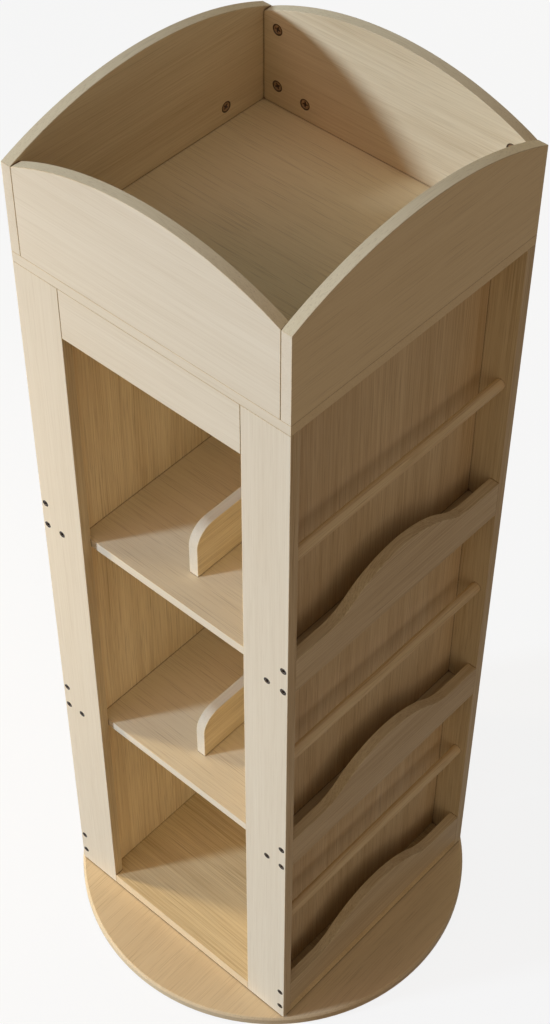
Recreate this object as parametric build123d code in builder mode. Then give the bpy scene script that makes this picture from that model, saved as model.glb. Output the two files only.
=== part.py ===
from build123d import *
import math
import os

# Revolving bookcase: a square tower of boards that turns on a round base.
# The front (-Y) and the back (+Y) are open onto the shelves. The left (-X) and
# right (+X) faces carry three magazine pockets each, with a dowel rail above
# every pocket. An open tray with arched sides stands on the top board.
# The tower turns on a swivel let into the underside of its floor, and on glides
# near its corners that keep it from tipping.
# Millimetres, +Z up. The origin is the centre of the base, on the floor.

# --- Driving dimensions ---------------------------------------------------

# Tower
body_width = 340.0
stile_width = 58.0
stile_thickness = 12.0
floor_thickness = 15.0
shelf_thickness = 12.0
wall_thickness = 9.0
bottom_bay_height = 300.0
middle_bay_height = 294.0
top_bay_height = 345.0
rail_height = 60.0
rail_thickness = 12.0
top_thickness = 12.0

# Dividers on the two shelves
divider_thickness = 12.0
divider_height = 65.0
divider_setback = 36.0
divider_corner_radius = 25.0

# Tray
tray_thickness = 12.0
tray_end_height = 100.0
tray_arch_rise = 36.0

# Magazine pockets
pocket_depth = 25.5
pocket_front_thickness = 12.0
pocket_floor_thickness = 12.0
pocket_end_height = 48.0
hump_rise = 35.0
hump_width = 220.0
hump_crest_radius = 131.0
dowel_diameter = 12.0
dowel_height = 181.0
dowel_inset = 13.0
dowel_socket = 6.0

# Base
base_diameter = 484.0
base_thickness = 12.0
base_edge = 2.5
pad_height = 3.0
pad_diameter = 30.0
pad_circle_diameter = 424.0
pad_count = 6
pad_sides = 16
running_gap = 1.5
glide_diameter = 30.0
glide_inset = 40.0

# Swivel
plate_width = 120.0
plate_thickness = 1.2
plate_corner_radius = 10.0
plate_screw_inset = 10.0
washer_thickness = 2.0
washer_diameter = 70.0
stud_diameter = 16.0
stud_head_diameter = 26.0
stud_head_thickness = 1.5
access_hole_diameter = 16.0

# Fasteners
screw_sides = 8
cam_sides = 16
stile_screw_diameter = 7.5
stile_screw_bite = 20.0
screw_pitch = 32.0
floor_screw_inset = 27.0
plate_screw_diameter = 4.0
plate_screw_bite = 6.0
cam_diameter = 12.0
cam_depth = 9.5
cam_setback = 18.0
corner_cam_height = 22.4
corner_cam_pitch = 64.0
foot_cam_inset = 66.0

# Clearances
fit = 0.1
running_fit = 0.05
recess_clearance = 0.5

# --- Derived levels and half widths ----------------------------------------

half = body_width / 2
face_back = half - stile_thickness
side_back = half - pocket_front_thickness
wall_outer = side_back - pocket_depth
wall_inner = wall_outer - wall_thickness
stile_inner = half - stile_width

base_top = pad_height + base_thickness
tower_bottom = base_top + running_gap
floor_top = tower_bottom + floor_thickness
lower_shelf_bottom = floor_top + bottom_bay_height
lower_shelf_top = lower_shelf_bottom + shelf_thickness
upper_shelf_bottom = lower_shelf_top + middle_bay_height
upper_shelf_top = upper_shelf_bottom + shelf_thickness
case_top = upper_shelf_top + top_bay_height
tray_bottom = case_top + top_thickness

washer_bottom = base_top + plate_thickness
upper_plate_bottom = washer_bottom + washer_thickness + running_fit
upper_plate_top = upper_plate_bottom + plate_thickness
stud_head_bottom = upper_plate_top + running_fit
stud_head_top = stud_head_bottom + stud_head_thickness

SIDES = {"left": -1, "right": 1}
FACES = {"front": -1, "back": 1}
LEVELS = {"lower": floor_top, "middle": lower_shelf_bottom, "upper": upper_shelf_bottom}
SHELVED_LEVELS = ("middle", "upper")

plate_screw_points = GridLocations(
    plate_width - 2 * plate_screw_inset, plate_width - 2 * plate_screw_inset, 2, 2
)
plate_screw_circle = (plate_width - 2 * plate_screw_inset) / math.sqrt(2)


def facing_y(y, z=0.0):
    """The plane at depth y whose sketches have X to the right and Z up, from height z."""
    return Plane(origin=(0, y, z), x_dir=(1, 0, 0), z_dir=(0, -1, 0))


def facing_x(x, z=0.0):
    """The plane at width x whose sketches have Y to the right and Z up, from height z."""
    return Plane(origin=(x, 0, z), x_dir=(0, 1, 0), z_dir=(1, 0, 0))


def save(piece, name):
    """Labels a finished piece and writes it to a file of its own."""
    piece.part.label = name
    export_step(piece.part, f"parts/{name}.step")


# --- Base ------------------------------------------------------------------


def make_base_disc():
    """The round board on the floor, with its screw holes and the driver hole."""
    with BuildPart() as disc:
        with BuildSketch(Plane.XY.offset(pad_height)):
            Circle(base_diameter / 2)
        extrude(amount=base_thickness)
        rim = disc.edges().filter_by(GeomType.CIRCLE).sort_by(Axis.Z)[-1]
        chamfer(rim, length=base_edge)
        with Locations((plate_screw_circle, 0, base_top)):
            Hole(access_hole_diameter / 2)
        with BuildSketch(Plane.XY.offset(base_top)):
            with plate_screw_points:
                RegularPolygon(plate_screw_diameter / 2 + fit, screw_sides)
        extrude(amount=-plate_screw_bite - fit, mode=Mode.SUBTRACT)
    save(disc, "base_disc")


def make_foot_pads():
    """The rubber pads under the rim of the base."""
    with BuildPart() as pads:
        with BuildSketch(Plane.XY):
            with PolarLocations(pad_circle_diameter / 2, pad_count):
                RegularPolygon(pad_diameter / 2, pad_sides)
        extrude(amount=pad_height)
    save(pads, "foot_pads")


# --- Swivel ----------------------------------------------------------------


def make_pivot_plate():
    """The lower steel plate, screwed to the base, with the headed stud that holds the tower."""
    with BuildPart() as plate:
        with BuildSketch(Plane.XY.offset(base_top)):
            RectangleRounded(plate_width, plate_width, plate_corner_radius)
            with plate_screw_points:
                RegularPolygon(plate_screw_diameter / 2 + fit, screw_sides, mode=Mode.SUBTRACT)
        extrude(amount=plate_thickness)
        with BuildSketch(Plane.XY.offset(washer_bottom)):
            Circle(stud_diameter / 2)
        extrude(amount=stud_head_bottom - washer_bottom)
        with BuildSketch(Plane.XY.offset(stud_head_bottom)):
            Circle(stud_head_diameter / 2)
        extrude(amount=stud_head_thickness)
    save(plate, "pivot_plate")


def make_swivel_plate():
    """The upper steel plate, screwed to the tower, which turns round the stud under its head."""
    with BuildPart() as plate:
        with BuildSketch(Plane.XY.offset(upper_plate_bottom)):
            RectangleRounded(plate_width, plate_width, plate_corner_radius)
            Circle(stud_diameter / 2 + running_fit, mode=Mode.SUBTRACT)
            with plate_screw_points:
                RegularPolygon(plate_screw_diameter / 2 + fit, screw_sides, mode=Mode.SUBTRACT)
        extrude(amount=plate_thickness)
    save(plate, "swivel_plate")


def make_swivel_washer():
    """The nylon washer between the two plates, which carries the weight of the tower."""
    with BuildPart() as washer:
        with BuildSketch(Plane.XY.offset(washer_bottom)):
            Circle(washer_diameter / 2)
            Circle(stud_diameter / 2 + fit, mode=Mode.SUBTRACT)
        extrude(amount=washer_thickness)
    save(washer, "swivel_washer")


def make_plate_screws(name, head, direction):
    """Four screws with flush heads that hold a swivel plate, driven along direction."""
    with BuildPart() as screws:
        with BuildSketch(Plane.XY.offset(head)):
            with plate_screw_points:
                RegularPolygon(plate_screw_diameter / 2, screw_sides)
        extrude(amount=direction * (plate_thickness + plate_screw_bite))
    save(screws, name)


def make_glides():
    """The thin nylon glides under the corners of the tower's floor."""
    spacing = body_width - 2 * glide_inset
    with BuildPart() as glides:
        with BuildSketch(Plane.XY.offset(tower_bottom)):
            with GridLocations(spacing, spacing, 2, 2):
                RegularPolygon(glide_diameter / 2, pad_sides)
        extrude(amount=running_fit - running_gap)
    save(glides, "glides")


# --- Case ------------------------------------------------------------------


def make_floor_board():
    """The board under the tower: notched round the stiles, recessed for the swivel."""
    with BuildPart() as board:
        with BuildSketch(Plane.XY.offset(tower_bottom)):
            Rectangle(body_width, body_width)
            with GridLocations(body_width - stile_width, body_width - stile_thickness, 2, 2):
                Rectangle(stile_width, stile_thickness, mode=Mode.SUBTRACT)
        extrude(amount=floor_thickness)
        with BuildSketch(Plane.XY.offset(tower_bottom)):
            Rectangle(plate_width + 2 * recess_clearance, plate_width + 2 * recess_clearance)
        extrude(amount=upper_plate_top - tower_bottom, mode=Mode.SUBTRACT)
        with BuildSketch(Plane.XY.offset(upper_plate_top)):
            Circle(stud_head_diameter / 2 + recess_clearance)
        extrude(amount=stud_head_top + recess_clearance - upper_plate_top, mode=Mode.SUBTRACT)
        with BuildSketch(Plane.XY.offset(upper_plate_top)):
            with plate_screw_points:
                RegularPolygon(plate_screw_diameter / 2 + fit, screw_sides)
        extrude(amount=plate_screw_bite + fit, mode=Mode.SUBTRACT)
    save(board, "floor_board")


def make_side_wall(side, sign):
    """The full-height board between the bays and the pockets of one side."""
    with BuildPart() as wall:
        with BuildSketch(Plane.XY.offset(floor_top)):
            with Locations((sign * (wall_inner + wall_thickness / 2), 0)):
                Rectangle(wall_thickness, 2 * face_back)
        extrude(amount=case_top - floor_top)
    save(wall, f"side_wall_{side}")


def stile_screw_points(sign):
    """Where the screws enter the stiles of one side, as (x, z)."""
    front_x = sign * (half - pocket_front_thickness / 2)
    floor_x = sign * (half - floor_screw_inset)
    points = []
    for level, bottom in LEVELS.items():
        height = bottom + pocket_floor_thickness / 2
        points += [(front_x, height), (front_x, height + screw_pitch)]
        if level in SHELVED_LEVELS:
            points.append((floor_x, height))
    return points


def make_stile(face, y_sign, side, x_sign):
    """A corner upright, drilled for its screws and blind-bored for the dowel rails."""
    with BuildPart() as stile:
        with BuildSketch(Plane.XY.offset(tower_bottom)):
            with Locations((x_sign * (half - stile_width / 2), y_sign * (half - stile_thickness / 2))):
                Rectangle(stile_width, stile_thickness)
        extrude(amount=case_top - tower_bottom)
        with BuildSketch(facing_y(y_sign * half)):
            with Locations(*stile_screw_points(x_sign)):
                RegularPolygon(stile_screw_diameter / 2 + fit, screw_sides)
        extrude(amount=y_sign * stile_thickness, mode=Mode.SUBTRACT)
        with BuildSketch(facing_y(y_sign * face_back)):
            with Locations(*[(x_sign * (half - dowel_inset), z + dowel_height) for z in LEVELS.values()]):
                Circle(dowel_diameter / 2 + fit)
        extrude(amount=-y_sign * (dowel_socket + fit), mode=Mode.SUBTRACT)
    save(stile, f"stile_{face}_{side}")


def make_stile_screws():
    """The screws through the stiles into the ends of the pocket fronts and pocket floors."""
    with BuildPart() as screws:
        for y_sign in FACES.values():
            with BuildSketch(facing_y(y_sign * half)):
                for x_sign in SIDES.values():
                    with Locations(*stile_screw_points(x_sign)):
                        RegularPolygon(stile_screw_diameter / 2, screw_sides)
            extrude(amount=y_sign * (stile_thickness + stile_screw_bite))
    save(screws, "stile_screws")


def make_shelf(name, bottom):
    """A shelf between the two side walls."""
    with BuildPart() as shelf:
        with BuildSketch(Plane.XY.offset(bottom)):
            Rectangle(2 * wall_inner, 2 * face_back)
        extrude(amount=shelf_thickness)
    save(shelf, f"{name}_shelf")


def make_divider(name, bottom):
    """The low upright board down the middle of a shelf, with rounded top corners."""
    length = 2 * (face_back - divider_setback)
    with BuildPart() as divider:
        with BuildSketch(facing_x(-divider_thickness / 2, bottom)):
            Rectangle(length, divider_height, align=(Align.CENTER, Align.MIN))
        extrude(amount=divider_thickness)
        top_corners = divider.edges().filter_by(Axis.X).group_by(Axis.Z)[-1]
        fillet(top_corners, radius=divider_corner_radius)
    save(divider, f"{name}_divider")


def make_top_rail(face, sign):
    """The board under the top between the two stiles of one open face."""
    with BuildPart() as rail:
        with BuildSketch(Plane.XY.offset(case_top - rail_height)):
            with Locations((0, sign * (half - rail_thickness / 2))):
                Rectangle(2 * stile_inner, rail_thickness)
        extrude(amount=rail_height)
    save(rail, f"{face}_rail")


def make_top_board():
    """The board that closes the case and is the floor of the tray."""
    with BuildPart() as board:
        with BuildSketch(Plane.XY.offset(case_top)):
            Rectangle(body_width, body_width)
        extrude(amount=top_thickness)
    save(board, "top_board")


# --- Pockets ---------------------------------------------------------------


def make_pocket_front(level, bottom, side, sign):
    """A pocket's front: flat shoulders that sweep up in tangent arcs to a round crest."""
    hump_half = hump_width / 2
    sweep_radius = (hump_half**2 + hump_rise**2) / (2 * hump_rise) - hump_crest_radius
    share = hump_crest_radius / (hump_crest_radius + sweep_radius)
    crest = pocket_end_height + hump_rise
    crest_centre = crest - hump_crest_radius
    sweep_centre = pocket_end_height + sweep_radius
    turn_y = hump_half * share
    turn_z = crest_centre + (sweep_centre - crest_centre) * share
    screw_height = pocket_floor_thickness / 2
    with BuildPart() as front:
        with BuildSketch(facing_x(sign * half, bottom)):
            with BuildLine():
                Polyline((-hump_half, pocket_end_height), (-face_back, pocket_end_height), (-face_back, 0))
                Line((-face_back, 0), (face_back, 0))
                Polyline((face_back, 0), (face_back, pocket_end_height), (hump_half, pocket_end_height))
                TangentArc((-hump_half, pocket_end_height), (-turn_y, turn_z), tangent=(1, 0))
                ThreePointArc((-turn_y, turn_z), (0, crest), (turn_y, turn_z))
                TangentArc((hump_half, pocket_end_height), (turn_y, turn_z), tangent=(-1, 0))
            make_face()
        extrude(amount=-sign * pocket_front_thickness)
        for y_sign in FACES.values():
            with BuildSketch(facing_y(y_sign * face_back, bottom)):
                with Locations(
                    (sign * (half - pocket_front_thickness / 2), screw_height),
                    (sign * (half - pocket_front_thickness / 2), screw_height + screw_pitch),
                ):
                    RegularPolygon(stile_screw_diameter / 2 + fit, screw_sides)
            extrude(amount=y_sign * (stile_screw_bite + fit), mode=Mode.SUBTRACT)
    save(front, f"pocket_front_{level}_{side}")


def make_pocket_floor(level, bottom, side, sign):
    """The narrow board that closes a pocket below, between the wall and the pocket front."""
    with BuildPart() as floor:
        with BuildSketch(Plane.XY.offset(bottom)):
            with Locations((sign * (wall_outer + pocket_depth / 2), 0)):
                Rectangle(pocket_depth, 2 * face_back)
        extrude(amount=pocket_floor_thickness)
        for y_sign in FACES.values():
            with BuildSketch(facing_y(y_sign * face_back, bottom)):
                with Locations((sign * (half - floor_screw_inset), pocket_floor_thickness / 2)):
                    RegularPolygon(stile_screw_diameter / 2 + fit, screw_sides)
            extrude(amount=y_sign * (stile_screw_bite + fit), mode=Mode.SUBTRACT)
    save(floor, f"pocket_floor_{level}_{side}")


def make_dowel_rail(level, bottom, side, sign):
    """The round rail that keeps magazines from leaning out of a pocket."""
    with BuildPart() as rail:
        with BuildSketch(facing_y(face_back + dowel_socket, bottom)):
            with Locations((sign * (half - dowel_inset), dowel_height)):
                Circle(dowel_diameter / 2)
        extrude(amount=2 * (face_back + dowel_socket))
    save(rail, f"dowel_rail_{level}_{side}")


# --- Tray ------------------------------------------------------------------

# Cam locks in one face of a tray panel, as (along the panel, height): the foot cams
# draw the panel down onto the top board, the corner cams draw in its neighbours.
foot_cams = [(sign * (half - foot_cam_inset), cam_setback) for sign in (-1, 1)]
corner_cams = [
    (sign * (half - tray_thickness - cam_setback), corner_cam_height + step * corner_cam_pitch)
    for sign in (-1, 1)
    for step in (0, 1)
]


def make_tray_side(side, sign):
    """A tray panel over the whole depth, with an arched top and two blind cam bores."""
    with BuildPart() as panel:
        with BuildSketch(facing_x(sign * half, tray_bottom)):
            with BuildLine():
                Polyline((-half, tray_end_height), (-half, 0), (half, 0), (half, tray_end_height))
                ThreePointArc(
                    (half, tray_end_height), (0, tray_end_height + tray_arch_rise), (-half, tray_end_height)
                )
            make_face()
        extrude(amount=-sign * tray_thickness)
        with BuildSketch(facing_x(sign * (half - tray_thickness), tray_bottom)):
            with Locations(*foot_cams):
                RegularPolygon(cam_diameter / 2 + fit, cam_sides)
        extrude(amount=sign * cam_depth, mode=Mode.SUBTRACT)
    save(panel, f"tray_{side}")


def make_tray_end(face, sign):
    """A tray panel between the two sides, with an arched top and six blind cam bores."""
    inner = half - tray_thickness
    with BuildPart() as panel:
        with BuildSketch(facing_y(sign * half, tray_bottom)):
            with BuildLine():
                Polyline((-inner, tray_end_height), (-inner, 0), (inner, 0), (inner, tray_end_height))
                ThreePointArc(
                    (inner, tray_end_height), (0, tray_end_height + tray_arch_rise), (-inner, tray_end_height)
                )
            make_face()
        extrude(amount=sign * tray_thickness)
        with BuildSketch(facing_y(sign * inner, tray_bottom)):
            with Locations(*(foot_cams + corner_cams)):
                RegularPolygon(cam_diameter / 2 + fit, cam_sides)
        extrude(amount=-sign * cam_depth, mode=Mode.SUBTRACT)
    save(panel, f"tray_{face}")


def make_cam_locks():
    """The round zinc locks in the inner faces of the tray panels."""
    inner = half - tray_thickness
    with BuildPart() as cams:
        for sign in (-1, 1):
            with BuildSketch(facing_x(sign * inner, tray_bottom)):
                with Locations(*foot_cams):
                    RegularPolygon(cam_diameter / 2, cam_sides)
            extrude(amount=sign * cam_depth)
            with BuildSketch(facing_y(sign * inner, tray_bottom)):
                with Locations(*(foot_cams + corner_cams)):
                    RegularPolygon(cam_diameter / 2, cam_sides)
            extrude(amount=-sign * cam_depth)
    save(cams, "cam_locks")


# --- All pieces ------------------------------------------------------------

os.makedirs("parts", exist_ok=True)

make_base_disc()
make_foot_pads()

make_pivot_plate()
make_swivel_plate()
make_swivel_washer()
make_plate_screws("pivot_plate_screws", washer_bottom, -1)
make_plate_screws("swivel_plate_screws", upper_plate_bottom, 1)
make_glides()

make_floor_board()
make_stile_screws()
make_shelf("lower", lower_shelf_bottom)
make_shelf("upper", upper_shelf_bottom)
make_divider("lower", lower_shelf_top)
make_divider("upper", upper_shelf_top)
make_top_board()
make_cam_locks()

for face, y_sign in FACES.items():
    make_top_rail(face, y_sign)
    make_tray_end(face, y_sign)
    for side, x_sign in SIDES.items():
        make_stile(face, y_sign, side, x_sign)

for side, x_sign in SIDES.items():
    make_side_wall(side, x_sign)
    make_tray_side(side, x_sign)
    for level, bottom in LEVELS.items():
        make_pocket_front(level, bottom, side, x_sign)
        make_dowel_rail(level, bottom, side, x_sign)
        if level in SHELVED_LEVELS:
            make_pocket_floor(level, bottom, side, x_sign)
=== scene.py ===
import math

import bmesh
import bpy
from mathutils import Euler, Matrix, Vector


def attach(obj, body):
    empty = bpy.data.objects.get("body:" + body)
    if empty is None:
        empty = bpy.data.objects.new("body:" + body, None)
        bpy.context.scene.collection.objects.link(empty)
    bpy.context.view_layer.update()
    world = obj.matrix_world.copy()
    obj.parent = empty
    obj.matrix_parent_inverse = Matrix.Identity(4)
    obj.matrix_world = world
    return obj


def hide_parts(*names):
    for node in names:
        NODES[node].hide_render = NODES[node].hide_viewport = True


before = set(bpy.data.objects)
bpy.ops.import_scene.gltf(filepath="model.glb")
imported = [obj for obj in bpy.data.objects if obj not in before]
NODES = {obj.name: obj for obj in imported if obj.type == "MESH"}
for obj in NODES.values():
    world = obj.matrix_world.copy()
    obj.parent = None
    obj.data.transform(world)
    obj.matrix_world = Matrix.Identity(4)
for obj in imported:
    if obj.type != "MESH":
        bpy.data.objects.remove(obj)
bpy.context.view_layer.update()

MM = 0.001
POCKETS = [f"{level}_{side}" for level in ("lower", "middle", "upper") for side in ("left", "right")]
DOWEL_RAILS = [f"dowel_rail_{pocket}" for pocket in POCKETS]


def linear(r, g, b):
    """An sRGB colour, 0 to 255, as the linear colour that Blender takes."""
    shares = [c / 255 for c in (r, g, b)]
    return tuple(s / 12.92 if s <= 0.04045 else ((s + 0.055) / 1.055) ** 2.4 for s in shares) + (1.0,)


def new_object(name, data):
    obj = bpy.data.objects.new(name, data)
    bpy.context.scene.collection.objects.link(obj)
    return obj


# --- Camera ------------------------------------------------------------------

# Solved from the edges of the square tower in the photograph, whose frame is 550 x 1024.
camera = new_object("camera", bpy.data.cameras.new("camera"))
camera.location = (0.94159, -1.05377, 2.16193)
camera.rotation_euler = Euler([math.radians(a) for a in (42.9763, -0.1840, 41.9574)], "XYZ")
camera.data.lens = 69.675
camera.data.sensor_width = 36
camera.data.clip_end = 60
bpy.context.scene.camera = camera
bpy.context.scene.view_settings.view_transform = "Standard"

# --- Light and floor ---------------------------------------------------------

TOWER = (0, 0, 0.6)
FOOT = (0, -0.1, 0.1)

# Kind, place, target, colour, power, and the sun's angle in radians or the lamp's diameter in metres.
LAMPS = {
    "key_light": ("SUN", (-2.0, -2.9, 1.64), TOWER, (0.64, 0.8, 1.0), 2.66, 0.12),
    "front_fill": ("AREA", (-0.8, -2.6, 2.9), TOWER, (1.0, 0.61, 0.51), 11.2, 1.4),
    "side_fill": ("AREA", (2.8, -0.2, 1.7), TOWER, (1.0, 0.58, 0.3), 8.9, 4.0),
    "warm_fill": ("AREA", (-1.1, -0.58, 0.75), FOOT, (1.0, 0.8, 0.49), 8.2, 0.16),
    "bay_fill": ("AREA", (0.8, -2.8, 1.2), TOWER, (1.0, 0.86, 0.56), 7.71, 2.4),
    "back_fill": ("AREA", (-1.2, 3.4, 1.2), TOWER, (1.0, 0.8, 0.45), 18.0, 2.0),
}
AMBIENT = (1.0, 1.0, 0.94, 1.0)
AMBIENT_POWER = 0.14
WHITE = (1, 1, 1, 1)

FLOOR_REACH = 25
FLOOR_BOUNCE = linear(112, 86, 56)
FLOOR_SHADED = (0.9, 0.9, 0.9, 1.0)
FLOOR_GLOW = 0.86


def lamp(name, kind, place, target, colour, power, size):
    data = bpy.data.lights.new(name, kind)
    data.color = colour
    data.energy = power
    if kind == "SUN":
        data.angle = size
    else:
        data.shape = "DISK"
        data.size = size
    obj = new_object(name, data)
    obj.location = place
    obj.rotation_euler = (Vector(target) - obj.location).to_track_quat("-Z", "Y").to_euler()


class Graph:
    """Short hands for a node tree. All but add return an output socket."""

    def __init__(self, tree):
        self.tree = tree
        tree.nodes.clear()

    def add(self, kind, **values):
        """A new node. inputs holds a value or a socket to link for each of its inputs."""
        node = self.tree.nodes.new(kind)
        inputs = values.pop("inputs", {})
        for key, value in values.items():
            setattr(node, key, value)
        for key, value in inputs.items():
            if isinstance(value, bpy.types.NodeSocket):
                self.tree.links.new(value, node.inputs[key])
            else:
                node.inputs[key].default_value = value
        return node

    def math(self, operation, a, b):
        return self.add("ShaderNodeMath", operation=operation, inputs={0: a, 1: b}).outputs[0]

    def weighted(self, *parts):
        """The sum of (socket, weight) pairs."""
        total = self.math("MULTIPLY", *parts[0])
        for part in parts[1:]:
            total = self.math("ADD", total, self.math("MULTIPLY", *part))
        return total

    def vector_math(self, operation, a, b):
        key = "Scale" if operation == "SCALE" else 1
        return self.add("ShaderNodeVectorMath", operation=operation, inputs={0: a, key: b}).outputs[0]

    def map_range(self, value, low, high, to_low, to_high):
        inputs = {"Value": value, "From Min": low, "From Max": high, "To Min": to_low, "To Max": to_high}
        return self.add("ShaderNodeMapRange", inputs=inputs).outputs[0]

    def mix_colour(self, share, a, b):
        return self.add("ShaderNodeMix", data_type="RGBA", inputs={0: share, 6: a, 7: b}).outputs[2]

    def scaled(self, place, scale, shift=(0.0, 0.0, 0.0)):
        inputs = {"Vector": place, "Location": shift, "Scale": scale}
        return self.add("ShaderNodeMapping", inputs=inputs).outputs[0]

    def noise(self, place, detail, roughness, output="Fac"):
        inputs = {"Vector": place, "Scale": 1.0, "Detail": detail, "Roughness": roughness}
        return self.add("ShaderNodeTexNoise", inputs=inputs).outputs[output]

    def ramp(self, share, *stops):
        """The colour between two stops, each given as (place, colour)."""
        node = self.add("ShaderNodeValToRGB", inputs={0: share})
        for element, (place, colour) in zip(node.color_ramp.elements, stops):
            element.position = place
            element.color = colour
        return node.outputs[0]

    def bump(self, height, strength, distance):
        inputs = {"Strength": strength, "Distance": distance, "Height": height}
        return self.add("ShaderNodeBump", inputs=inputs).outputs[0]

    def split(self, lighting, seen):
        """One shader for what lights the object, and another for the background that is seen.

        Seen means by the camera itself, in a gloss or through a clear piece.
        """
        path = self.add("ShaderNodeLightPath")
        rays = self.math("MAXIMUM", path.outputs["Is Camera Ray"], path.outputs["Is Glossy Ray"])
        rays = self.math("MAXIMUM", rays, path.outputs["Is Transmission Ray"])
        return self.add("ShaderNodeMixShader", inputs={0: rays, 1: lighting, 2: seen}).outputs[0]


for name, row in LAMPS.items():
    lamp(name, *row)

world = bpy.data.worlds.new("studio")
bpy.context.scene.world = world
world.use_nodes = True
g = Graph(world.node_tree)
ambient = g.add("ShaderNodeBackground", inputs={"Color": AMBIENT, "Strength": AMBIENT_POWER}).outputs[0]
white = g.add("ShaderNodeBackground", inputs={"Color": WHITE, "Strength": 1.0}).outputs[0]
g.add("ShaderNodeOutputWorld", inputs={0: g.split(ambient, white)})

paper = bpy.data.materials.new("studio_paper")
paper.use_nodes = True
g = Graph(paper.node_tree)
bounce = g.add("ShaderNodeBsdfDiffuse", inputs={"Color": FLOOR_BOUNCE}).outputs[0]
shaded = g.add("ShaderNodeBsdfDiffuse", inputs={"Color": FLOOR_SHADED}).outputs[0]
glow = g.add("ShaderNodeEmission", inputs={"Color": WHITE, "Strength": 1.0}).outputs[0]
seen = g.add("ShaderNodeMixShader", inputs={0: FLOOR_GLOW, 1: shaded, 2: glow}).outputs[0]
g.add("ShaderNodeOutputMaterial", inputs={0: g.split(bounce, seen)})

floor_mesh = bpy.data.meshes.new("studio_floor")
floor_corners = [(x * FLOOR_REACH, y * FLOOR_REACH, 0) for x, y in ((-1, -1), (1, -1), (1, 1), (-1, 1))]
floor_mesh.from_pydata(floor_corners, [], [(0, 1, 2, 3)])
floor_mesh.materials.append(paper)
floor = new_object("studio_floor", floor_mesh)

# --- Materials ---------------------------------------------------------------

OAK_DEEP = linear(203, 178, 138)
OAK_LIGHT = linear(234, 216, 182)
# Painted light: the pale colours are a lighter, cooler copy of the oak, which stands in for strong light
# on the faces that carry it.
PALE_DEEP = linear(223, 207, 181)
PALE_LIGHT = linear(232, 218, 194)
OAK_PORE = linear(168, 138, 98)
# Painted shade: a reddish brown mixed into the oak where other surfaces lie within a few millimetres, in
# corners, creases and joints between boards.
CREVICE_SHADE = linear(118, 68, 32)
CREVICE_SHADE_REACH = 4 * MM
CREVICE_SHADE_DEPTH = 0.9
GLOSS = 0.04
ROUGHNESS = (0.56, 0.44)
RELIEF = 0.3 * MM

# How far a step of one in the seed moves the place that a board is cut from, on each axis.
SEED_STEP = (7.31, 3.17, 5.53)

# Layers of the grain: shift of the seed, frequency per metre along and across, noise detail and roughness.
GRAIN = {
    "bands": (1, 1.6, 42.0, 3.0, 0.55),
    "streaks": (2, 4.0, 420.0, 3.0, 0.6),
    "fibres": (3, 26.0, 1500.0, 2.0, 0.6),
    "pores": (4, 17.0, 1050.0, 1.0, 0.5),
    "zones": (5, 2.2, 16.0, 2.0, 0.5),
}

# The slow wander of the grain: its frequency per metre along and across, and its width in metres.
SWAY_ALONG = 1.6
SWAY_ACROSS = 7.0
SWAY_WIDTH = 0.012

# Year rings per metre on each axis, and by how many rings the bands can move them.
RINGS = (330.0, 380.0, 350.0)
RING_SHIFT = 9.0

# How much of each layer is in the figure, how far the ring lines darken it and how strong the pores are.
FIGURE = {"bands": 0.36, "streaks": 0.44, "fibres": 0.20}
LINE_DEPTH = 0.14
PORE_DEPTH = 0.31

# The values between which each pattern fades from one end to the other.
LINE_FADE = (0.26, 0.5)
ZONE_FADE = (0.42, 0.62)
FIGURE_FADE = (0.30, 0.60)
PORE_FADE = (0.57, 0.70)
STREAK_FADE = (0.3, 0.7)
CREVICE_SHADE_FADE = (0.2, 0.7)

# What is left of the ring lines outside the zones where they are strong.
FAINT_LINES = 0.15

# How strongly lines and pores are drawn: on the pale sides, on the wide boards and on the lighter bands.
PALE_FIGURE = 0.32
WIDE_FIGURE = 0.9
BAND_FIGURE = 0.6

# The calmer grain of the boards with a band.
CALM = {"figured": 0.7, "contrast": 0.6}

# An eased edge carries a painted highlight: it is drawn lighter and with weaker pores. It is also
# smoother.
PAINTED_EDGE_HIGHLIGHT = 0.06
EDGE_HIGHLIGHT_PORES = 0.5
EDGE_SMOOTHING = 0.1


def along_grain(g, place, axis, along, across, seed):
    """A place scaled by frequencies along and across the grain, and moved by the board's seed."""
    scale = tuple(along if a == axis else across for a in "XYZ")
    return g.scaled(place, scale, tuple(seed * step for step in SEED_STEP))


def blend_of(a, b, share):
    """The colour that lies share of the way from a to b."""
    return [x + (y - x) * share for x, y in zip(a, b)]


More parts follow.
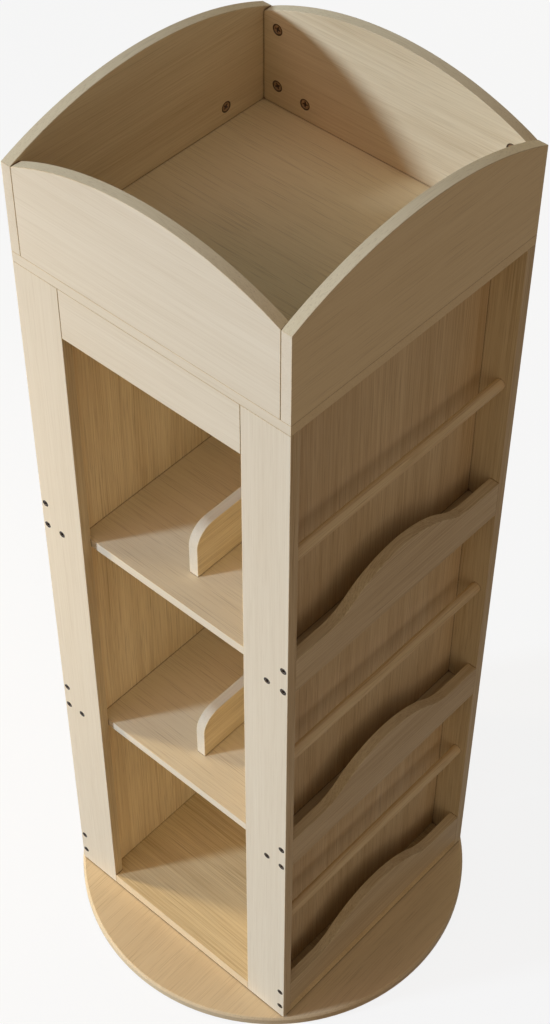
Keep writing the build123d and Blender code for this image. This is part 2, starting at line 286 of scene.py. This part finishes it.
def oak(name, axis, seed, tone, edge_highlight=0.0, pale=False, figured=None, contrast=1.0):
    """Straight-grained oak under a satin lacquer.

    axis is the way the grain runs, and seed is the place it is cut from. tone is a tint on the board,
    which is painted light where it is not plain. edge_highlight is how strongly an eased edge carries a
    painted highlight, with weaker pores and a smoother finish. pale gives a lighter, cooler copy of the
    oak with calmer grain, which is painted light. figured is how strongly the lines and pores are drawn,
    and contrast is how far the two colours of the figure lie apart.
    """
    if figured is None:
        figured = PALE_FIGURE if pale else 1.0
    material = bpy.data.materials.new(name)
    material.use_nodes = True
    g = Graph(material.node_tree)
    place = g.add("ShaderNodeTexCoord").outputs["Object"]
    sway = g.noise(along_grain(g, place, axis, SWAY_ALONG, SWAY_ACROSS, seed), 2.0, 0.5, "Color")
    sway = g.vector_math("SUBTRACT", sway, (0.5, 0.5, 0.5))
    place = g.vector_math("ADD", place, g.vector_math("SCALE", sway, SWAY_WIDTH))
    grain = {
        layer: g.noise(along_grain(g, place, axis, along, across, seed + shift), detail, roughness)
        for layer, (shift, along, across, detail, roughness) in GRAIN.items()
    }

    across = [0.0 if a == axis else pitch for a, pitch in zip("XYZ", RINGS)]
    rings = g.add("ShaderNodeVectorMath", operation="DOT_PRODUCT", inputs={0: place, 1: across})
    rings = g.math("ADD", rings.outputs["Value"], g.math("MULTIPLY", grain["bands"], RING_SHIFT))
    lines = g.map_range(g.math("PINGPONG", rings, 0.5), *LINE_FADE, 0.0, 1.0)
    lines = g.math("MULTIPLY", lines, g.map_range(grain["zones"], *ZONE_FADE, FAINT_LINES, 1.0))
    figure = g.weighted(*[(grain[layer], share) for layer, share in FIGURE.items()])
    figure = g.math("SUBTRACT", figure, g.math("MULTIPLY", lines, LINE_DEPTH * figured))

    deep, light = (PALE_DEEP, PALE_LIGHT) if pale else (OAK_DEEP, OAK_LIGHT)
    calm = (1 - contrast) / 2
    deep, light = blend_of(deep, light, calm), blend_of(light, deep, calm)
    deep = tuple(c * t for c, t in zip(deep, tone)) + (1.0,)
    # Painted highlight: an eased edge is drawn lighter here, and with weaker pores below.
    light = tuple(min(1.0, c * t * (1 + PAINTED_EDGE_HIGHLIGHT * edge_highlight)) for c, t in zip(light, tone)) + (1.0,)
    colour = g.ramp(figure, *zip(FIGURE_FADE, (deep, light)))
    pore_strength = PORE_DEPTH * figured * (1 - EDGE_HIGHLIGHT_PORES * edge_highlight)
    pore = g.map_range(grain["pores"], *PORE_FADE, 0.0, pore_strength)
    colour = g.mix_colour(pore, colour, OAK_PORE)
    # Painted shade in corners, creases and joints: an ambient occlusion test darkens the colour towards a
    # reddish brown.
    near = g.add("ShaderNodeAmbientOcclusion", samples=10, inputs={"Distance": CREVICE_SHADE_REACH})
    crevice_shade = g.map_range(near.outputs["AO"], *CREVICE_SHADE_FADE, CREVICE_SHADE_DEPTH, 0.0)
    colour = g.mix_colour(crevice_shade, colour, CREVICE_SHADE)

    rough = g.map_range(grain["streaks"], *STREAK_FADE, *[r - EDGE_SMOOTHING * edge_highlight for r in ROUGHNESS])
    height = g.math("SUBTRACT", g.math("MULTIPLY", grain["streaks"], 0.5), g.math("MULTIPLY", pore, 0.8))
    bump = g.bump(height, 0.2, RELIEF)
    shader = g.add(
        "ShaderNodeBsdfPrincipled",
        inputs={"Base Color": colour, "Roughness": rough, "Normal": bump, "Specular IOR Level": GLOSS},
    )
    g.add("ShaderNodeOutputMaterial", inputs={0: shader.outputs[0]})
    return material


def mottled(name, dark, light, rough, brushed=(400.0, 400.0, 400.0), metallic=1.0):
    """A mottled or brushed surface between two colours, of metal unless metallic is 0."""
    material = bpy.data.materials.new(name)
    material.use_nodes = True
    g = Graph(material.node_tree)
    place = g.add("ShaderNodeTexCoord").outputs["Object"]
    fine = g.noise(g.scaled(place, brushed), 3.0, 0.6)
    patches = g.noise(g.scaled(place, (90, 90, 90)), 2.0, 0.5)
    colour = g.ramp(g.weighted((fine, 0.6), (patches, 0.4)), (0.35, dark), (0.65, light))
    roughness = g.map_range(fine, 0.3, 0.7, rough - 0.08, rough + 0.08)
    bump = g.bump(fine, 0.15, 0.1 * MM)
    shader = g.add(
        "ShaderNodeBsdfPrincipled",
        inputs={"Base Color": colour, "Roughness": roughness, "Normal": bump, "Metallic": metallic},
    )
    g.add("ShaderNodeOutputMaterial", inputs={0: shader.outputs[0]})
    return material


BRUSHED = (60.0, 2400.0, 400.0)
NYLON_SPECKS = (900.0, 900.0, 900.0)
RUBBER_SPECKS = (1500.0, 1500.0, 1500.0)

BRONZE = mottled("bronzed_screw_steel", linear(28, 22, 18), linear(54, 43, 35), 0.4, metallic=0.85)
SOCKET = mottled("screw_socket_steel", linear(86, 74, 66), linear(128, 112, 100), 0.34)
CAM_RIM = mottled("cam_housing_zinc", linear(74, 54, 36), linear(98, 74, 50), 0.5, metallic=0.3)
CAM_FACE = mottled("cam_face_zinc", linear(150, 118, 82), linear(184, 148, 108), 0.45, metallic=0.3)
STEEL = mottled("swivel_steel", linear(150, 152, 154), linear(190, 191, 192), 0.36, BRUSHED)
NYLON = mottled("nylon_plastic", linear(206, 202, 192), linear(226, 222, 212), 0.5, NYLON_SPECKS, 0.0)
RUBBER = mottled("pad_rubber_grey", linear(52, 50, 48), linear(72, 70, 67), 0.8, RUBBER_SPECKS, 0.0)

# --- Boards ------------------------------------------------------------------

# Edges that bend by more than SHARP are eased, and faces within SAME_PLANE are joined first.
SHARP = math.radians(28)
SAME_PLANE = math.radians(0.6)
SAME_POINT = 1e-6
BOARD_EASE = 0.6 * MM
DISC_EASE = 1.1 * MM
BORE_MARGIN = 0.6 * MM

# The place of each material in a board's list.
FACE, EDGE, PALE, BANDING = range(4)

# How squarely a face looks outward, from 0 to 1, and how little a rim looks along the board's thickness.
OUTWARD = 0.9
RIM = 0.5

# Boards that butt between two others, and the axis they run along.
# The last END_DEPTH of them is moved in by JOINT, so that each joint shows as a fine dark line.
BUTTED = {"tray_front": "X", "tray_back": "X", "front_rail": "X", "back_rail": "X"}
JOINT = 0.35 * MM
END_DEPTH = 4 * MM

# Boards whose edges carry the pale copy of the oak all the way round, which is painted light.
PALE_RIMMED = {"lower_divider", "upper_divider"}

# Boards with a lighter band on their edges and outward side faces, and a calmer grain inside. The band is
# painted light: a painted highlight on the rims and lifted light on the outward side faces.
BANDED = {"tray_front", "tray_back", "tray_left", "tray_right", "top_board"}

# Tints of the boards, as factors on the oak's own colour. All but PLAIN are painted light: CREAMY, HONEY,
# WARMER and BRIGHT lift boards whose light falls short, GOLDEN and DISC paint a warm light near the floor,
# and BAND paints a lighter band on rims and outward side faces.
PLAIN = (1.0, 1.0, 1.0)
GOLDEN = (1.1, 1.08, 0.98)
BRIGHT = (1.06, 1.05, 1.02)
CREAMY = (1.14, 1.12, 1.03)
HONEY = (1.22, 1.17, 0.99)
WARMER = (1.2, 1.19, 1.16)
BAND = (1.2, 1.17, 1.02)
DISC = (0.99, 0.9, 0.75)

# Axis of the grain, seed and tint.
BOARDS = {
    "lower_divider": ("Y", 5.0, BRIGHT),
    "upper_divider": ("Y", 5.0, BRIGHT),
    "side_wall_left": ("Z", 6.0, WARMER),
    "side_wall_right": ("Z", 6.0, BRIGHT),
    "stile_front_left": ("Z", 7.0, PLAIN),
    "stile_front_right": ("Z", 7.0, PLAIN),
    "stile_back_left": ("Z", 8.0, PLAIN),
    "stile_back_right": ("Z", 8.0, PLAIN),
    "front_rail": ("X", 9.0, PLAIN),
    "back_rail": ("X", 9.0, PLAIN),
    "tray_front": ("X", 11.0, PLAIN),
    "tray_back": ("X", 11.0, PLAIN),
    "tray_left": ("Y", 12.0, PLAIN),
    "tray_right": ("Y", 12.0, PLAIN),
}
for pocket in POCKETS:
    BOARDS[f"pocket_front_{pocket}"] = ("Y", 13.0, PLAIN)
    if not pocket.startswith("lower"):
        BOARDS[f"pocket_floor_{pocket}"] = ("Y", 14.0, PLAIN)

# Boards whose large faces take the pale copy of the oak, lifted by a tint, which is painted light: axis of
# the grain, seed and tint of those faces.
PLAIN_FACED = {
    "lower_shelf": ("X", 3.0, CREAMY),
    "upper_shelf": ("X", 4.0, CREAMY),
    "top_board": ("X", 10.0, HONEY),
}


def islands(node):
    """The separate solids of a CAD node, each as (lowest corner, highest corner)."""
    bm = bmesh.new()
    bm.from_mesh(NODES[node].data)
    bmesh.ops.remove_doubles(bm, verts=bm.verts, dist=SAME_POINT)
    left = set(bm.verts)
    found = []
    while left:
        group, waiting = set(), [left.pop()]
        while waiting:
            vert = waiting.pop()
            group.add(vert)
            for edge in vert.link_edges:
                other = edge.other_vert(vert)
                if other in left:
                    left.discard(other)
                    waiting.append(other)
        low, high = [Vector([pick(v.co[i] for v in group) for i in range(3)]) for pick in (min, max)]
        found.append((low, high))
    bm.free()
    return sorted(found, key=lambda box: tuple(round(c, 5) for c in box[0]))


def bores(node, longest):
    """Each solid of a round node as (centre, index of its own axis, radius).

    Its own axis is its longest side, or else its shortest.
    """
    found = []
    for low, high in islands(node):
        size = high - low
        axis = max(range(3), key=lambda i: size[i] if longest else -size[i])
        radius = max(size[i] for i in range(3) if i != axis) / 2
        found.append(((low + high) / 2, axis, radius))
    return found


BORES = bores("cam_locks", False)
for node in ["stile_screws", "swivel_plate_screws", "pivot_plate_screws"] + DOWEL_RAILS:
    BORES += bores(node, True)


def in_bore(point):
    """Whether a point lies on the hole of a fastener or dowel, whose rim keeps its sharp edge."""
    for centre, axis, radius in BORES:
        across = [point[i] - centre[i] for i in range(3) if i != axis]
        if math.hypot(*across) < radius + BORE_MARGIN:
            return True
    return False


def shade_smooth(obj, weighted):
    """Smooth shading with sharp corners, and with normals weighted by area where wanted."""
    for polygon in obj.data.polygons:
        polygon.use_smooth = True
    obj.data.set_sharp_from_angle(angle=SHARP)
    if weighted:
        modifier = obj.modifiers.new("weighted_normals", "WEIGHTED_NORMAL")
        modifier.keep_sharp = True
        modifier.weight = 90


def new_piece(name, bm, materials, body, node, weighted=False):
    """Turns a bmesh into a piece that stands for a CAD node."""
    mesh = bpy.data.meshes.new(name)
    bm.to_mesh(mesh)
    bm.free()
    for material in materials:
        mesh.materials.append(material)
    piece = new_object(name, mesh)
    shade_smooth(piece, weighted)
    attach(piece, body)
    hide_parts(node)


def board(node, materials, ease=BOARD_EASE, segments=2):
    """Stands for a CAD board: the same form with its edges eased.

    Faces that look out at the front or the back are pale, and so are the rims of some boards: a lighter,
    cooler copy of the oak, which is painted light. Rims and outward side faces of some other boards take a
    lighter band, also painted light.
    """
    bm = bmesh.new()
    bm.from_mesh(NODES[node].data)
    bmesh.ops.remove_doubles(bm, verts=bm.verts, dist=SAME_POINT)
    bmesh.ops.dissolve_limit(bm, angle_limit=SAME_PLANE, verts=bm.verts, edges=bm.edges)
    sharp = [
        e for e in bm.edges
        if len(e.link_faces) == 2 and e.calc_face_angle(0) > SHARP
        and not (in_bore(e.verts[0].co) and in_bore(e.verts[1].co))
    ]
    bmesh.ops.bevel(
        bm, geom=sharp, offset=ease, offset_type="OFFSET", segments=segments, profile=0.5,
        affect="EDGES", clamp_overlap=True, material=EDGE,
    )
    if node in BUTTED:
        i = "XYZ".index(BUTTED[node])
        reach = max(abs(v.co[i]) for v in bm.verts)
        for v in bm.verts:
            if abs(v.co[i]) > reach - END_DEPTH:
                v.co[i] -= math.copysign(JOINT, v.co[i])
    bm.normal_update()
    size = [max(v.co[i] for v in bm.verts) - min(v.co[i] for v in bm.verts) for i in range(3)]
    thin = size.index(min(size))
    for face in bm.faces:
        if face.material_index != FACE:
            continue
        # How far the face looks away from the tower's middle plane, along each axis.
        out = [n * math.copysign(1, c) for n, c in zip(face.normal, face.calc_center_median())]
        on_rim = abs(face.normal[thin]) < RIM
        # Painted light: faces that look out to the front or back take the pale copy of the oak, and so do
        # the rims of some boards.
        if out[1] > OUTWARD or on_rim and node in PALE_RIMMED:
            face.material_index = PALE
        # Painted light: the rims and outward side faces of these boards take the lighter band.
        elif node in BANDED and (on_rim or out[0] > OUTWARD):
            face.material_index = BANDING
    body = "base" if node == "base_disc" else "tower"
    new_piece(f"{node}_oak", bm, materials, body, node, weighted=True)


OAKS = {}


def oak_set(axis, seed, tone, banded=False):
    """The face, eased edge and pale copy of a board, and its lighter band where it has one.

    The pale copy, the band and the edge's lighter colour are painted light.
    """
    key = (axis, seed, tone)
    if key not in OAKS:
        name = f"oak_{axis.lower()}_{len(OAKS) + 1}"
        calm = CALM if banded else {}
        OAKS[key] = [
            oak(name, axis, seed, tone, **calm),
            oak(f"{name}_edge", axis, seed, tone, edge_highlight=1.0, **calm),
            oak(f"{name}_pale", axis, seed, PLAIN, pale=True),
        ]
        if banded:
            OAKS[key].append(oak(f"{name}_band", axis, seed, BAND, pale=True, figured=BAND_FIGURE))
    return OAKS[key]


for node, (axis, seed, tone) in BOARDS.items():
    board(node, oak_set(axis, seed, tone, node in BANDED))
for node, (axis, seed, tone) in PLAIN_FACED.items():
    wide_face = oak(f"oak_{node}", axis, seed, tone, pale=True, figured=WIDE_FIGURE)
    board(node, [wide_face] + oak_set(axis, seed, BRIGHT, node in BANDED)[1:])

# Painted light: the disc and the floor board are tinted for a warm light near the floor.
disc_face = oak("oak_disc", "Y", 1.0, DISC, pale=True, figured=WIDE_FIGURE)
disc_edge = oak("oak_disc_edge", "Y", 1.0, DISC, edge_highlight=1.0, pale=True, figured=WIDE_FIGURE)
board("base_disc", [disc_face, disc_edge, disc_face], ease=DISC_EASE, segments=3)
board("floor_board", [oak_set("X", 2.0, GOLDEN)[0], disc_edge, disc_face])
for node in DOWEL_RAILS:
    board(node, oak_set("Y", 15.0, WARMER))

# --- Fasteners and small fittings ----------------------------------------------

TURN = 2 * math.pi
SCREW_SIDES = 36
PAD_SIDES = 48

# How far each screw or cam lock is turned from the one before, in radians.
NEXT_SCREW = 0.37
NEXT_CAM = 0.9


def frame_at(centre, axis, sign):
    """Turns (across, across, outward) in millimetres into a place. The piece faces sign along axis."""
    u, v = [i for i in range(3) if i != axis]

    def place(a, b, out):
        point = [0.0, 0.0, 0.0]
        point[u] = centre[u] + a * MM
        point[v] = centre[v] + b * MM
        point[axis] = centre[axis] + sign * out * MM
        return point

    return place


def loft(bm, place, rings, inner=()):
    """Skins rings of points, given as (ring, height), and closes both ends.

    The steps between rings that inner names take the second material.
    """
    rows = [[bm.verts.new(place(a, b, out)) for a, b in ring] for ring, out in rings]
    for k, (here, there) in enumerate(zip(rows, rows[1:])):
        for i in range(len(here)):
            j = (i + 1) % len(here)
            face = bm.faces.new((here[i], here[j], there[j], there[i]))
            face.material_index = int(k in inner)
    bm.faces.new(rows[0][::-1])
    bm.faces.new(rows[-1]).material_index = int(len(rows) - 2 in inner)


def round_angles(count):
    return [TURN * i / count for i in range(count)]


def outline(angles, radius_at):
    return [(radius_at(t) * math.cos(t), radius_at(t) * math.sin(t)) for t in angles]


def circle(angles, radius):
    return outline(angles, lambda t: radius)


def hexagon(angles, flats, turn):
    """A hexagon by its width across flats."""
    def radius(t):
        off = (t - turn + math.pi / 6) % (math.pi / 3) - math.pi / 6
        return flats / 2 / math.cos(off)

    return outline(angles, radius)


def cross(angles, arm, width, turn):
    """A cross by the length of an arm and its width."""
    def radius(t):
        c, s = [max(abs(wave(t - turn)), 1e-9) for wave in (math.cos, math.sin)]
        return max(min(arm / c, width / 2 / s), min(arm / s, width / 2 / c))

    return outline(angles, radius)


def fitting(name, bm, materials, body, node):
    bmesh.ops.recalc_face_normals(bm, faces=bm.faces)
    new_piece(name, bm, materials, body, node)


def stile_screws():
    """Bronzed flush bolts with a hex socket, each turned by steps of 10 degrees."""
    bm = bmesh.new()
    angles = round_angles(SCREW_SIDES)
    for n, (low, high) in enumerate(islands("stile_screws")):
        centre = (low + high) / 2
        sign = -1 if centre.y < 0 else 1
        centre.y = low.y if sign < 0 else high.y
        turn = (n * NEXT_SCREW) % (math.pi / 3)
        turn = round(turn / (math.pi / 18)) * math.pi / 18
        rings = [
            (circle(angles, 3.0), -31.0), (circle(angles, 3.0), -0.4), (circle(angles, 3.95), -0.02),
            (circle(angles, 3.95), 0.08), (circle(angles, 3.75), 0.2), (circle(angles, 2.75), 0.2),
            (circle(angles, 2.35), 0.02), (hexagon(angles, 3.6, turn), -0.25),
            (hexagon(angles, 3.5, turn), -2.2),
        ]
        loft(bm, frame_at(centre, 1, sign), rings, inner=(6, 7))
    fitting("stile_screws_bronzed", bm, (BRONZE, SOCKET), "tower", "stile_screws")


def cam_locks():
    """Zinc cam housings with a dished face and a cross recess, each turned its own way."""
    bm = bmesh.new()
    arm, width = 3.1, 1.5
    corner = math.atan(width / 2 / arm)
    quarter = [
        0, corner, (corner + math.pi / 4) / 2, math.pi / 4, (3 * math.pi / 4 - corner) / 2,
        math.pi / 2 - corner,
    ]
    for n, (low, high) in enumerate(islands("cam_locks")):
        centre = (low + high) / 2
        size = high - low
        axis = min((0, 1), key=lambda i: size[i])
        sign = -1 if centre[axis] > 0 else 1
        centre[axis] = low[axis] if sign < 0 else high[axis]
        turn = (n * NEXT_CAM) % (math.pi / 2)
        angles = [turn + q * math.pi / 2 + t for q in range(4) for t in quarter]
        rings = [
            (circle(angles, 6.0), -9.3), (circle(angles, 6.0), -0.3), (circle(angles, 6.2), -0.02),
            (circle(angles, 6.2), 0.06), (circle(angles, 6.0), 0.15), (circle(angles, 5.0), 0.15),
            (circle(angles, 4.7), -0.35), (cross(angles, arm + 0.25, width + 0.5, turn), -0.4),
            (cross(angles, arm, width, turn), -0.7), (cross(angles, arm * 0.8, width * 0.8, turn), -2.4),
        ]
        loft(bm, frame_at(centre, axis, sign), rings, inner=(6,))
    fitting("cam_locks_zinc", bm, (CAM_RIM, CAM_FACE), "tower", "cam_locks")


def round_pads(name, node, material, body):
    """Round pads that face down, with an eased rim and a shallow ring, for the solids of a node."""
    bm = bmesh.new()
    angles = round_angles(PAD_SIDES)
    for low, high in islands(node):
        centre = (low + high) / 2
        centre.z = high.z
        radius = (high.x - low.x) / 2 / MM
        tall = (high.z - low.z) / MM
        ease = min(0.5, tall / 4)
        profile = [
            (radius, 0.0), (radius, tall - ease), (radius - 0.3 * ease, tall - 0.3 * ease),
            (radius - ease, tall), (radius * 0.72, tall), (radius * 0.70, tall - ease),
            (radius * 0.62, tall - ease), (radius * 0.60, tall), (radius * 0.1, tall),
        ]
        loft(bm, frame_at(centre, 2, -1), [(circle(angles, r), out) for r, out in profile])
    fitting(name, bm, (material,), body, node)


stile_screws()
cam_locks()
round_pads("foot_pads_rubber", "foot_pads", RUBBER, "base")
round_pads("glides_nylon", "glides", NYLON, "tower")

# The swivel keeps its CAD shapes.
for node, material in {
    "pivot_plate": STEEL, "pivot_plate_screws": STEEL, "swivel_plate": STEEL,
    "swivel_plate_screws": STEEL, "swivel_washer": NYLON,
}.items():
    for material_slot in NODES[node].material_slots:
        material_slot.material = material
